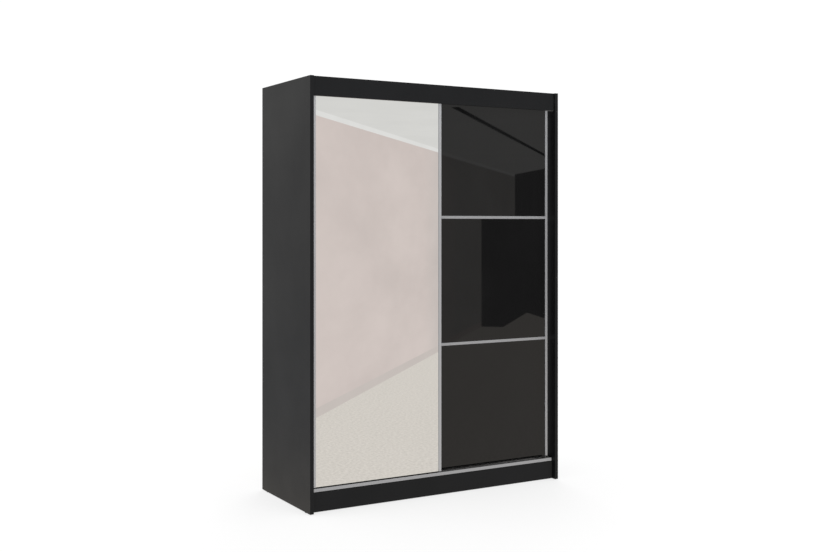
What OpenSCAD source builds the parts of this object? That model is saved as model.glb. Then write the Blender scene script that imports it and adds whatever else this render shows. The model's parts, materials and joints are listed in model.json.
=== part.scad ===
// Two-door sliding wardrobe: a board case, two tracks, and two doors that pass each other.
// Millimetres. The origin is on the floor under the middle of the case, the doors face -Y and +Z is up.

/* [Case] */
// Width over the two side panels
wardrobe_w = 1500; // [1300:10:2000]
// Height from the floor to the top edge of the side panels
wardrobe_h = 2130; // [1900:10:2400]
// Depth from the front edge of the side panels to the outside of the back
wardrobe_d = 605; // [560:5:700]
// Thickness of the side panels
side_t = 20; // [18:1:25]
// Thickness of every other board
board_t = 16; // [16:1:19]
// Thickness of the back sheets
back_t = 3; // [3:1:5]
// Height of the floor glides
glide_h = 4; // [3:1:8]

/* [Front] */
// Height of the top fascia
fascia_h = 96; // [80:1:120]
// How far the fascia stands back from the front edge of the side panels
fascia_set = 15; // [8:1:16]
// Height of the plinth board
plinth_h = 93; // [70:1:120]
// How far the plinth and the bottom panel stand back
plinth_set = 30; // [28:1:32]

/* [Doors] */
// Width of one door
door_w = 734; // [700:1:760]
// Depth of a door's stiles
door_d = 30; // [28:1:32]
// How far the front door's face stands back
front_door_set = 33; // [32:1:36]
// Distance between the faces of the two doors
door_pitch = 35; // [34:1:38]
// Gap between a shut door and the side panel
shut_gap = 1; // [1:1:3]
// How far the mirror door stands from its shut place
mirror_door_ajar = 10; // [0:1:20]
// Width of a stile's face
stile_w = 15; // [14:1:20]
// How far the stiles stand proud of the glass
glass_set = 4; // [3:1:5]
// Thickness of the glass
glass_t = 4; // [3:1:5]
// Thickness of the board behind the glass
door_board_t = 10; // [8:1:12]
// Height of a divider strip's face
strip_h = 14.4; // [10:0.2:20]
// Height of the lower divider strip's centre above the floor
strip_low_z = 777; // [600:1:900]
// Height of the upper divider strip's centre above the floor
strip_high_z = 1445; // [1200:1:1700]

/* [Tracks and wheels] */
// Thickness of the track metal
track_t = 1.5; // [1.5:0.1:2]
// Height of the ribs that the wheels run on
rib_h = 4; // [3:0.5:5]
// Radius of a wheel
wheel_r = 12; // [10:0.5:14]
// Width of a wheel
wheel_w = 5; // [4:0.5:6]
// Depth of the groove in a wheel's rim
wheel_groove = 1.2; // [1:0.1:1.5]
// Height of the upper track
upper_track_h = 28; // [24:1:32]

/* [Inside] */
// Number of loose shelves in the left bay
shelf_count = 4; // [1:1:4]
// Height of the fixed hat shelves above the floor
hat_shelf_z = 1780; // [1600:10:1850]
// Height of the hanging rail's tube
rail_h = 30; // [25:1:35]
// Thickness of the hanging rail's tube
rail_w = 15; // [12:1:18]

/* [Hidden] */
$fn = 48;
front_y = -wardrobe_d / 2;
back_y = wardrobe_d / 2;
case_back_y = back_y - back_t;
inner_x = wardrobe_w / 2 - side_t;
bay_x = board_t / 2;

// heights of the case
bottom_z = glide_h + plinth_h;
floor_z = bottom_z + board_t;
ceiling_z = wardrobe_h - board_t;
fascia_z = wardrobe_h - fascia_h;

// doors: lane 0 is the front one, lane 1 the rear one
door_z = floor_z + 10;
door_top_z = fascia_z + 46;
panel_in = stile_w - 7.7;
panel_gap = 0.3;
stile_wall = 1.5;
stile_corner_r = 1;
panel_v = glass_set + glass_t;
panel_back = panel_v + door_board_t;
wheel_back = 6;
wheel_v = panel_back + wheel_back;
wheel_in = 60;
wheel_side_gap = 0.7;
wheel_bore_gap = 0.05;
mirror_door_x = -inner_x + shut_gap + mirror_door_ajar;
black_door_x = inner_x - shut_gap - door_w;
strip_web = 3;
strip_proud = 2;
brush_w = 6;
brush_short = 4;

// wheel housings at the foot of a door and guides at its head
housing_half = 24;
housing_h = 48;
housing_screw_out = 17;
housing_screw_z = door_z + 38;
guide_half = 22;
guide_h = 44;
guide_depth = 10;
guide_screw_out = 13;
guide_screw_z = door_top_z - guide_h / 2;
fin_half = 20;
fin_gap = 8;

// tracks
lane_y = [front_y + front_door_set, front_y + front_door_set + door_pitch];
track_half = inner_x - 4;
track_front = plinth_set - track_t;
track_back = front_door_set + door_pitch + 32;
rib_w = 2;
lip_drop = 10.5;
rail_top_z = floor_z + track_t + rib_h;
axle_z = rail_top_z + 0.3 + wheel_r - wheel_groove;
axle_d = 4;
guide_t = 8;
channel_w = 12;
stop_half = 9;
stop_w = 10;
stop_rise = 5;

// inside
partition_set = front_door_set + door_pitch + door_d + 7;
shelf_set = partition_set + 10;
bay_w = inner_x - bay_x;
shelf_gap = (hat_shelf_z - floor_z - shelf_count * board_t) / (shelf_count + 1);
rail_z = hat_shelf_z - 60;
rail_y = (front_y + partition_set + case_back_y) / 2;
rail_wall = 1.2;
socket_t = 3;
socket_rim = 8;
socket_ring_l = 10;
socket_ring_t = 2;
socket_ring_gap = 0.2;
socket_screw_z = rail_h / 2 + 5;
socket_head_d = 5;
pin_d = 5;
pin_in = 7;
pin_step = 32;
pin_rows = [front_y + shelf_set + 37, case_back_y - 50];
rear_plinth_y = case_back_y - board_t - 6;

// floor glides
glide_rows = [front_y + 60, case_back_y - 60];
glide_d = 18;
glide_pin_d = 2.5;
glide_pin_l = 14;

// cam fittings and dowels
cam_d = 15;
cam_h = 12.5;
cam_in = 34;
cam_cross_l = 9;
cam_cross_w = 2;
cam_cross_h = 2.4;
bolt_d = 6.6;
thread_d = 5;
thread_in = 7;
dowel_d = 8;
dowel_in = 7;
dowel_out = 20;
cam_rows = [front_y + 150, front_y + 560];
dowel_rows = [front_y + 200, front_y + 510];

// each joint of a level board: [x of the wall, way into the wall, underside of the board]
level_joints = [
    [-inner_x, -1, bottom_z], [inner_x, 1, bottom_z],
    [-inner_x, -1, ceiling_z], [inner_x, 1, ceiling_z],
    [-inner_x, -1, hat_shelf_z], [-bay_x, 1, hat_shelf_z],
    [bay_x, -1, hat_shelf_z], [inner_x, 1, hat_shelf_z]
];

// each joint of the partition: [z of the board that it meets, way into the board]
upright_joints = [[floor_z, -1], [ceiling_z, 1]];

// dowels of the narrow boards: [y, z] on both sides of the case
narrow_dowels = [
    for (z = [fascia_z + 24, wardrobe_h - 24]) [front_y + fascia_set + board_t / 2, z],
    for (y = [front_y + plinth_set + board_t / 2, rear_plinth_y + board_t / 2])
        for (z = [glide_h + 24, bottom_z - 24]) [y, z]
];

// nails of the back sheets: [x, z]
nail_step = 245;
nail_d = 1.6;
nail_l = 14;
nail_head_d = 4;
nail_head_h = 0.8;
back_z = bottom_z + 2;
back_top_z = wardrobe_h - 2;
nail_places = [
    for (z = [back_z + 60 : nail_step : back_top_z - 30]) each [
        [-wardrobe_w / 2 + side_t / 2, z], [-bay_x / 2 - 0.5, z],
        [bay_x / 2 + 0.5, z], [wardrobe_w / 2 - side_t / 2, z]
    ],
    for (z = [bottom_z + board_t / 2, ceiling_z + board_t / 2]) for (side = [-1, 1]) for (i = [1 : 3])
        [side * i * inner_x / 4 + side * 2, z]
];

// corner brackets, wall brackets and screws
bracket_leg = 15;
bracket_t = 2;
bracket_hole = 9;
bracket_x = [-inner_x * 0.72, -inner_x * 0.24, inner_x * 0.24, inner_x * 0.72];
wall_bracket_x = [-inner_x * 0.6, inner_x * 0.6];
wall_bracket_leg = 40;
wall_bracket_w = 30;
wall_bracket_hole = 24;
wall_hole_d = 6;
wall_hole_z = ceiling_z - wall_bracket_hole;
screw_d = 3;
screw_head_d = 6;
screw_head_h = 1.6;
track_screw_x = [for (i = [-3 : 3]) i * track_half / 3.2];
track_screw_y = lane_y[1] + 6;
screw_in = 10;

// ---- basic shapes ----
module block(from, to) {
    translate(from) cube(to - from);
}

module rod_x(at, d, len, way = 1) {
    translate(at) rotate([0, way * 90, 0]) cylinder(d = d, h = len);
}

module rod_y(at, d, len) {
    translate(at) rotate([-90, 0, 0]) cylinder(d = d, h = len);
}

module rod_z(at, d, len) {
    translate(at) cylinder(d = d, h = len);
}

module soft_rect(w, h, r) {
    translate([r, 0]) square([w - 2 * r, h]);
    translate([0, r]) square([w, h - 2 * r]);
    for (x = [r, w - r]) for (y = [r, h - r]) translate([x, y]) circle(r = r);
}

// ---- joints of the case ----
module thread_bores() {
    for (j = level_joints) for (y = cam_rows)
        rod_x([j[0], y, j[2] + board_t / 2], thread_d, thread_in, j[1]);
}

module level_dowels() {
    for (j = level_joints) for (y = dowel_rows)
        rod_x([j[0] - j[1] * dowel_out, y, j[2] + board_t / 2], dowel_d, dowel_out + dowel_in, j[1]);
    for (side = [-1, 1]) for (at = narrow_dowels)
        rod_x([side * (inner_x - dowel_out), at[0], at[1]], dowel_d, dowel_out + dowel_in, side);
}

module upright_dowels() {
    for (j = upright_joints) for (y = dowel_rows)
        rod_z([0, y, j[0] - (j[1] > 0 ? dowel_out : dowel_in)], dowel_d, dowel_out + dowel_in);
}

module level_cam_bores() {
    for (j = level_joints) for (y = cam_rows) {
        rod_z([j[0] - j[1] * cam_in, y, j[2]], cam_d, cam_h);
        rod_x([j[0], y, j[2] + board_t / 2], bolt_d, cam_in - cam_d / 2 + 1, -j[1]);
    }
}

module upright_cam_bores() {
    for (j = upright_joints) for (y = cam_rows) {
        rod_x([bay_x, y, j[0] - j[1] * cam_in], cam_d, cam_h, -1);
        rod_z([0, y, j[1] > 0 ? j[0] - cam_in : j[0]], bolt_d, cam_in);
    }
}

module upright_thread_bores() {
    for (j = upright_joints) for (y = cam_rows)
        rod_z([0, y, j[1] > 0 ? j[0] : j[0] - thread_in], thread_d, thread_in);
}

module nails() {
    for (at = nail_places) {
        rod_y([at[0], back_y - nail_l, at[1]], nail_d, nail_l - nail_head_h);
        rod_y([at[0], back_y - nail_head_h, at[1]], nail_head_d, nail_head_h);
    }
}

module pin_holes(x, way) {
    for (i = [0 : shelf_count - 1]) for (k = [-2 : 2]) for (y = pin_rows)
        rod_x([x, y, shelf_z(i) - pin_d / 2 + k * pin_step], pin_d, pin_in, way);
}

function shelf_z(i) = floor_z + (i + 1) * shelf_gap + i * board_t;

module glide_holes(x) {
    for (y = glide_rows) rod_z([x, y, glide_h - 1], glide_pin_d, glide_pin_l + 1);
}

// ---- case ----
module side_panel(side) {
    from_x = side < 0 ? -wardrobe_w / 2 : inner_x;
    color([0.10, 0.10, 0.11])
    difference() {
        block([from_x, front_y, glide_h], [from_x + side_t, case_back_y, wardrobe_h]);
        thread_bores();
        level_dowels();
        nails();
        if (side < 0) pin_holes(-inner_x, -1);
        glide_holes(from_x + side_t / 2);
    }
}

module side_panel_left() { side_panel(-1); }

module side_panel_right() { side_panel(1); }

module top_panel() {
    color([0.12, 0.12, 0.13])
    difference() {
        block([-inner_x, front_y + fascia_set + board_t, ceiling_z], [inner_x, case_back_y, wardrobe_h]);
        level_cam_bores();
        level_dowels();
        upright_dowels();
        upright_thread_bores();
        nails();
        screws_up();
    }
}

module bottom_panel() {
    color([0.12, 0.12, 0.13])
    difference() {
        block([-inner_x, front_y + plinth_set, bottom_z], [inner_x, case_back_y, floor_z]);
        level_cam_bores();
        level_dowels();
        upright_dowels();
        upright_thread_bores();
        nails();
        screws_down();
    }
}

module centre_partition() {
    color([0.30, 0.30, 0.31])
    difference() {
        block([-bay_x, front_y + partition_set, floor_z], [bay_x, case_back_y, ceiling_z]);
        thread_bores();
        level_dowels();
        upright_cam_bores();
        upright_dowels();
        nails();
        pin_holes(-bay_x, 1);
    }
}

module narrow_board(y, z, h) {
    color([0.10, 0.10, 0.11])
    difference() {
        block([-inner_x, y, z], [inner_x, y + board_t, z + h]);
        level_dowels();
    }
}

module top_fascia() { narrow_board(front_y + fascia_set, fascia_z, fascia_h); }

module front_plinth() { narrow_board(front_y + plinth_set, glide_h, plinth_h); }

module rear_plinth() { narrow_board(rear_plinth_y, glide_h, plinth_h); }

module plinth_brace() {
    color([0.12, 0.12, 0.13])
    difference() {
        block([-bay_x, front_y + plinth_set + board_t, glide_h], [bay_x, rear_plinth_y, bottom_z]);
        glide_holes(0);
    }
}

module back_panel(side) {
    color([0.25, 0.25, 0.26])
    difference() {
        block([side < 0 ? -wardrobe_w / 2 + 2 : 0.5, case_back_y, back_z],
              [side < 0 ? -0.5 : wardrobe_w / 2 - 2, back_y, back_top_z]);
        nails();
        for (x = wall_bracket_x) rod_y([x, case_back_y - 1, wall_hole_z], wall_hole_d, back_t + 2);
    }
}

module back_panel_left() { back_panel(-1); }

module back_panel_right() { back_panel(1); }

// ---- tracks ----
module lower_track_section() {
    translate([track_front, 0]) square([track_back - track_front, track_t]);
    translate([track_front, -lip_drop]) square([track_t, lip_drop + track_t + rib_h]);
    translate([track_back - track_t, 0]) square([track_t, track_t + rib_h]);
    for (lane = [0, 1]) translate([front_door_set + lane * door_pitch + wheel_v - rib_w / 2, 0]) {
        square([rib_w, track_t + rib_h - rib_w / 2]);
        translate([rib_w / 2, track_t + rib_h - rib_w / 2]) circle(d = rib_w);
    }
}

module upper_track_section() {
    inner = front_door_set + wheel_v - channel_w / 2 - track_t;
    outer = front_door_set + door_pitch + wheel_v + channel_w / 2 + track_t;
    translate([inner, upper_track_h - track_t]) square([outer - inner, track_t]);
    for (lane = [0, 1]) for (edge = [-channel_w / 2 - track_t, channel_w / 2])
        translate([front_door_set + lane * door_pitch + wheel_v + edge, 0])
            square([track_t, upper_track_h]);
}

// a section drawn in depth and height, run along the width of the case
module along_case(z, half) {
    translate([-half, front_y, z]) rotate([90, 0, 90]) linear_extrude(2 * half) children();
}

module lower_track() {
    color([0.72, 0.73, 0.74])
    difference() {
        along_case(floor_z, track_half) lower_track_section();
        screws_down();
    }
}

module upper_track() {
    color([0.72, 0.73, 0.74])
    difference() {
        along_case(ceiling_z - upper_track_h, track_half) upper_track_section();
        screws_up();
    }
}

// shanks of the screws that hold the tracks
module screws_down() {
    for (x = track_screw_x) rod_z([x, track_screw_y, floor_z - screw_in], screw_d, screw_in + track_t);
}

module screws_up() {
    for (x = track_screw_x) rod_z([x, track_screw_y, ceiling_z - track_t], screw_d, screw_in + track_t);
}

module track_screws() {
    color([0.62, 0.62, 0.60]) {
        screws_down();
        screws_up();
        for (x = track_screw_x) {
            rod_z([x, track_screw_y, floor_z + track_t], screw_head_d, screw_head_h);
            rod_z([x, track_screw_y, ceiling_z - track_t - screw_head_h], screw_head_d, screw_head_h);
        }
    }
}

// a stop sits astride its rib, just past the place that a wheel reaches
module track_stop(x, lane) {
    y = lane_y[lane] + wheel_v;
    difference() {
        block([x - stop_half, y - stop_w / 2, floor_z + track_t],
              [x + stop_half, y + stop_w / 2, rail_top_z + stop_rise]);
        block([x - stop_half - 1, y - rib_w / 2, floor_z],
              [x + stop_half + 1, y + rib_w / 2, rail_top_z]);
    }
}

module track_stops() {
    reach = inner_x - shut_gap - wheel_in + wheel_r + 10;
    color([0.08, 0.08, 0.08])
    for (lane = [0, 1]) for (side = [-1, 1]) track_stop(side * reach, lane);
}

// ---- inside ----
module hat_shelf(from, to) {
    color([0.30, 0.30, 0.31])
    difference() {
        block([from, front_y + partition_set, hat_shelf_z], [to, case_back_y, hat_shelf_z + board_t]);
        level_cam_bores();
        level_dowels();
    }
}

module hat_shelf_left() { hat_shelf(-inner_x, -bay_x); }

module hat_shelf_right() { hat_shelf(bay_x, inner_x); }

module loose_shelf(i) {
    color([0.30, 0.30, 0.31])
    block([-inner_x + 1, front_y + shelf_set, shelf_z(i)],
          [-bay_x - 1, case_back_y - 2, shelf_z(i) + board_t]);
}

module shelf_pin(x, way, y, z) {
    rod_x([x + way * pin_in, y, z - pin_d / 2], pin_d, pin_in + 8, -way);
    rod_x([x, y, z - pin_d / 2], pin_d + 2, 1, -way);
}

module shelf_pins() {
    color([0.75, 0.75, 0.73])
    for (i = [0 : shelf_count - 1]) for (y = pin_rows) {
        shelf_pin(-inner_x, -1, y, shelf_z(i));
        shelf_pin(-bay_x, 1, y, shelf_z(i));
    }
}

module rail_section(grow) {
    w = rail_w + 2 * grow;
    h = rail_h + 2 * grow;
    translate([-w / 2, -(h - w) / 2]) square([w, h - w]);
    for (z = [-1, 1]) translate([0, z * (h - w) / 2]) circle(d = w);
}

module along_rail(from, len) {
    translate([from, rail_y, rail_z]) rotate([90, 0, 90]) linear_extrude(len) children();
}

module hanging_rail() {
    color([0.80, 0.80, 0.80])
    along_rail(bay_x + socket_t, bay_w - 2 * socket_t) difference() {
        rail_section(0);
        rail_section(-rail_wall);
    }
}

module rail_socket(from, ring_from) {
    along_rail(from, socket_t) difference() {
        rail_section(socket_rim);
        for (z = [-1, 1]) translate([0, z * socket_screw_z]) circle(d = screw_d);
    }
    along_rail(ring_from, socket_ring_l) difference() {
        rail_section(socket_ring_gap + socket_ring_t);
        rail_section(socket_ring_gap);
    }
}

module rail_sockets() {
    color([0.70, 0.70, 0.71]) {
        rail_socket(bay_x, bay_x + socket_t);
        rail_socket(inner_x - socket_t, inner_x - socket_t - socket_ring_l);
    }
}

// ---- fittings ----
module cam_lock() {
    difference() {
        cylinder(d = cam_d - 0.2, h = cam_h - 0.3);
        translate([0, 0, 1]) cube([cam_cross_l, cam_cross_w, cam_cross_h], center = true);
        translate([0, 0, 1]) cube([cam_cross_w, cam_cross_l, cam_cross_h], center = true);
    }
}

module cam_locks() {
    color([0.55, 0.55, 0.56]) {
        for (j = level_joints) for (y = cam_rows) translate([j[0] - j[1] * cam_in, y, j[2]]) cam_lock();
        for (j = upright_joints) for (y = cam_rows)
            translate([bay_x, y, j[0] - j[1] * cam_in]) rotate([0, -90, 0]) cam_lock();
    }
}

module cam_bolts() {
    shank = cam_in - cam_d / 2;
    color([0.70, 0.66, 0.55]) {
        thread_bores();
        upright_thread_bores();
        for (j = level_joints) for (y = cam_rows)
            rod_x([j[0], y, j[2] + board_t / 2], bolt_d, shank, -j[1]);
        for (j = upright_joints) for (y = cam_rows)
            rod_z([0, y, j[1] > 0 ? j[0] - shank : j[0]], bolt_d, shank);
    }
}

module dowels() {
    color([0.80, 0.66, 0.45]) {
        level_dowels();
        upright_dowels();
    }
}

module back_nails() {
    color([0.60, 0.60, 0.60]) nails();
}

// one leg under a level board, the other on the back face of the narrow board in front of it
module corner_bracket(x, y, z) {
    half = bracket_leg / 2;
    difference() {
        union() {
            block([x - half, y, z - bracket_t], [x + half, y + bracket_leg, z]);
            block([x - half, y, z - bracket_leg], [x + half, y + bracket_t, z]);
        }
        rod_z([x, y + bracket_hole, z - bracket_t - 1], screw_d, bracket_t + 2);
        rod_y([x, y - 1, z - bracket_hole], screw_d, bracket_t + 2);
    }
}

module corner_brackets() {
    color([0.66, 0.66, 0.66])
    for (x = bracket_x) {
        corner_bracket(x, front_y + fascia_set + board_t, ceiling_z);
        corner_bracket(x, front_y + plinth_set + board_t, bottom_z);
    }
}

module wall_brackets() {
    color([0.66, 0.66, 0.66])
    for (x = wall_bracket_x) difference() {
        union() {
            block([x - wall_bracket_w / 2, case_back_y - wall_bracket_leg, ceiling_z - bracket_t],
                  [x + wall_bracket_w / 2, case_back_y, ceiling_z]);
            block([x - wall_bracket_w / 2, case_back_y - bracket_t, ceiling_z - wall_bracket_leg],
                  [x + wall_bracket_w / 2, case_back_y, ceiling_z]);
        }
        rod_y([x, case_back_y - bracket_t - 1, wall_hole_z], wall_hole_d, bracket_t + 2);
        rod_z([x, case_back_y - wall_bracket_hole, ceiling_z - bracket_t - 1], screw_d, bracket_t + 2);
    }
}

// the head of a screw that goes up through a bracket
module bracket_screw(x, y, board_z) {
    rod_z([x, y, board_z - bracket_t - screw_head_h], screw_head_d, screw_head_h);
}

// heads of the screws that hold the brackets and the rail sockets
module bracket_screws() {
    color([0.62, 0.62, 0.60]) {
        for (x = bracket_x) {
            bracket_screw(x, front_y + fascia_set + board_t + bracket_hole, ceiling_z);
            bracket_screw(x, front_y + plinth_set + board_t + bracket_hole, bottom_z);
        }
        for (x = wall_bracket_x) bracket_screw(x, case_back_y - wall_bracket_hole, ceiling_z);
        for (side = [-1, 1]) {
            z = rail_z + side * socket_screw_z;
            rod_x([bay_x + socket_t, rail_y, z], socket_head_d, screw_head_h);
            rod_x([inner_x - socket_t, rail_y, z], socket_head_d, screw_head_h, -1);
        }
    }
}

module floor_glides() {
    color([0.06, 0.06, 0.06])
    for (x = [-(wardrobe_w - side_t) / 2, 0, (wardrobe_w - side_t) / 2]) for (y = glide_rows) {
        rod_z([x, y, 0], glide_d, glide_h);
        rod_z([x, y, glide_h], glide_pin_d, glide_pin_l);
    }
}

// ---- doors: x0 is the door's left edge, lane 0 is the front lane ----

// section of a stile: u runs in from the door's edge, v back from its face
module stile_section() {
    difference() {
        soft_rect(stile_w, door_d, stile_corner_r);
        translate([panel_in - panel_gap, glass_set]) square([stile_w, panel_back - glass_set]);
        translate([stile_wall, stile_wall])
            square([panel_in - panel_gap - 2 * stile_wall, panel_back - 2 * stile_wall]);
        translate([stile_wall, panel_back + stile_wall])
            square([stile_w - 2 * stile_wall, door_d - panel_back - 2 * stile_wall]);
    }
}

module door_stile(x0, lane, right) {
    color([0.78, 0.79, 0.80])
    translate([right ? x0 + door_w : x0, lane_y[lane], door_z])
        mirror([right ? 1 : 0, 0, 0]) linear_extrude(door_top_z - door_z) stile_section();
}

module door_board(x0, lane) {
    y = lane_y[lane] + panel_v;
    color([0.14, 0.14, 0.15])
    block([x0 + panel_in, y, door_z], [x0 + door_w - panel_in, y + door_board_t, door_top_z]);
}

module door_pane(x0, lane, from_z, to_z) {
    y = lane_y[lane] + glass_set;
    block([x0 + panel_in, y, from_z], [x0 + door_w - panel_in, y + glass_t, to_z]);
}

module door_housing(x, lane) {
    y = lane_y[lane] + panel_back;
    difference() {
        block([x - housing_half, y, door_z + 1],
              [x + housing_half, y + door_d - panel_back, door_z + housing_h]);
        block([x - wheel_r - 2, y + wheel_back - wheel_w / 2 - wheel_side_gap, door_z],
              [x + wheel_r + 2, y + wheel_back + wheel_w / 2 + wheel_side_gap, axle_z + wheel_r + 3]);
        rod_y([x, y - 1, axle_z], axle_d, door_d);
        for (side = [-1, 1])
            rod_y([x + side * housing_screw_out, y - 1, housing_screw_z], screw_d, door_d);
    }
}

module door_housings(x0, lane) {
    color([0.10, 0.10, 0.10])
    for (x = [x0 + wheel_in, x0 + door_w - wheel_in]) door_housing(x, lane);
}

module door_axles(x0, lane) {
    color([0.70, 0.70, 0.70])
    for (x = [x0 + wheel_in, x0 + door_w - wheel_in])
        rod_y([x, lane_y[lane] + panel_back, axle_z], axle_d, door_d - panel_back);
}

module door_wheel(x0, lane, right) {
    x = right ? x0 + door_w - wheel_in : x0 + wheel_in;
    color([0.85, 0.85, 0.82])
    translate([x, lane_y[lane] + wheel_v, axle_z]) rotate([90, 0, 0]) rotate_extrude() wheel_section();
}

// half section of a wheel about its axle: a hub, a thin web and a grooved rim
module wheel_section() {
    bore = axle_d / 2 + wheel_bore_gap;
    difference() {
        translate([bore, -wheel_w / 2]) square([wheel_r - bore, wheel_w]);
        translate([wheel_r - wheel_groove, -rib_w / 2 - 0.3]) square([wheel_groove + 1, rib_w + 0.6]);
        for (face = [-wheel_w / 2 - 1, wheel_w / 2 - 0.8]) translate([4.5, face]) square([3.5, 1.8]);
    }
}

module door_guide(x, lane) {
    y = lane_y[lane] + panel_back;
    mid = lane_y[lane] + wheel_v;
    difference() {
        union() {
            block([x - guide_half, y, door_top_z - guide_h],
                  [x + guide_half, y + guide_depth, door_top_z]);
            block([x - fin_half, mid - guide_t / 2, door_top_z],
                  [x + fin_half, mid + guide_t / 2, ceiling_z - fin_gap]);
        }
        for (side = [-1, 1])
            rod_y([x + side * guide_screw_out, y - 1, guide_screw_z], screw_d, guide_depth + 2);
    }
}

module door_guides(x0, lane) {
    color([0.16, 0.16, 0.16])
    for (x = [x0 + wheel_in, x0 + door_w - wheel_in]) door_guide(x, lane);
}

// a screw that starts at the back of a door's board and passes through a fitting of the given depth
module door_screw(x, y, z, depth) {
    rod_y([x, y, z], screw_d, depth);
    rod_y([x, y + depth, z], screw_head_d, screw_head_h);
}

// screws of the housings and guides
module door_screws(x0, lane) {
    y = lane_y[lane] + panel_back;
    color([0.62, 0.62, 0.60])
    for (x = [x0 + wheel_in, x0 + door_w - wheel_in]) for (side = [-1, 1]) {
        door_screw(x + side * housing_screw_out, y, housing_screw_z, door_d - panel_back);
        door_screw(x + side * guide_screw_out, y, guide_screw_z, guide_depth);
    }
}

module door_brush(x0, lane, right, pile) {
    x = right ? x0 + door_w - stile_w / 2 : x0 + stile_w / 2;
    y = lane_y[lane] + door_d;
    color([0.20, 0.20, 0.20])
    block([x - brush_w / 2, y, door_z + brush_short],
          [x + brush_w / 2, y + pile, door_top_z - brush_short]);
}

module mirror_door_board() { door_board(mirror_door_x, 0); }

module mirror_pane() {
    color([0.80, 0.84, 0.84]) door_pane(mirror_door_x, 0, door_z, door_top_z);
}

module mirror_door_stile_left() { door_stile(mirror_door_x, 0, false); }

module mirror_door_stile_right() { door_stile(mirror_door_x, 0, true); }

module mirror_door_housings() { door_housings(mirror_door_x, 0); }

module mirror_door_axles() { door_axles(mirror_door_x, 0); }

module mirror_door_guides() { door_guides(mirror_door_x, 0); }

module mirror_door_screws() { door_screws(mirror_door_x, 0); }

module mirror_door_brush() { door_brush(mirror_door_x, 0, true, 3.5); }

module mirror_door_wheel_left() { door_wheel(mirror_door_x, 0, false); }

module mirror_door_wheel_right() { door_wheel(mirror_door_x, 0, true); }

module black_door_board() { door_board(black_door_x, 1); }

module black_glass(from_z, to_z) {
    color([0.05, 0.05, 0.06]) door_pane(black_door_x, 1, from_z, to_z);
}

module black_glass_top() { black_glass(strip_high_z + strip_web / 2, door_top_z); }

module black_glass_middle() { black_glass(strip_low_z + strip_web / 2, strip_high_z - strip_web / 2); }

module black_glass_bottom() { black_glass(door_z, strip_low_z - strip_web / 2); }

// a T section: its web stands on the board between two panes, its flange covers their edges
module divider_strip(z) {
    from = black_door_x + stile_w;
    to = black_door_x + door_w - stile_w;
    y = lane_y[1] + glass_set;
    color([0.78, 0.79, 0.80]) {
        block([from, y - strip_proud, z - strip_h / 2], [to, y, z + strip_h / 2]);
        block([from, y, z - strip_web / 2], [to, y + glass_t, z + strip_web / 2]);
    }
}

module divider_strip_upper() { divider_strip(strip_high_z); }

module divider_strip_lower() { divider_strip(strip_low_z); }

module black_door_stile_left() { door_stile(black_door_x, 1, false); }

module black_door_stile_right() { door_stile(black_door_x, 1, true); }

module black_door_housings() { door_housings(black_door_x, 1); }

module black_door_axles() { door_axles(black_door_x, 1); }

module black_door_guides() { door_guides(black_door_x, 1); }

module black_door_screws() { door_screws(black_door_x, 1); }

module black_door_brush() { door_brush(black_door_x, 1, false, 5); }

module black_door_wheel_left() { door_wheel(black_door_x, 1, false); }

module black_door_wheel_right() { door_wheel(black_door_x, 1, true); }

side_panel_left();
side_panel_right();
top_panel();
bottom_panel();
centre_partition();
top_fascia();
front_plinth();
rear_plinth();
plinth_brace();
back_panel_left();
back_panel_right();
upper_track();
lower_track();
track_stops();
track_screws();
hat_shelf_left();
hat_shelf_right();
loose_shelf(0);  // loose_shelf_1
loose_shelf(1);  // loose_shelf_2
loose_shelf(2);  // loose_shelf_3
loose_shelf(3);  // loose_shelf_4
shelf_pins();
hanging_rail();
rail_sockets();
cam_locks();
cam_bolts();
dowels();
back_nails();
corner_brackets();
wall_brackets();
bracket_screws();
floor_glides();
mirror_door_board();
mirror_pane();
mirror_door_stile_left();
mirror_door_stile_right();
mirror_door_housings();
mirror_door_axles();
mirror_door_guides();
mirror_door_screws();
mirror_door_brush();
mirror_door_wheel_left();
mirror_door_wheel_right();
black_door_board();
black_glass_top();
black_glass_middle();
black_glass_bottom();
divider_strip_upper();
divider_strip_lower();
black_door_stile_left();
black_door_stile_right();
black_door_housings();
black_door_axles();
black_door_guides();
black_door_screws();
black_door_brush();
black_door_wheel_left();
black_door_wheel_right();
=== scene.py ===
import json
import math

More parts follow.
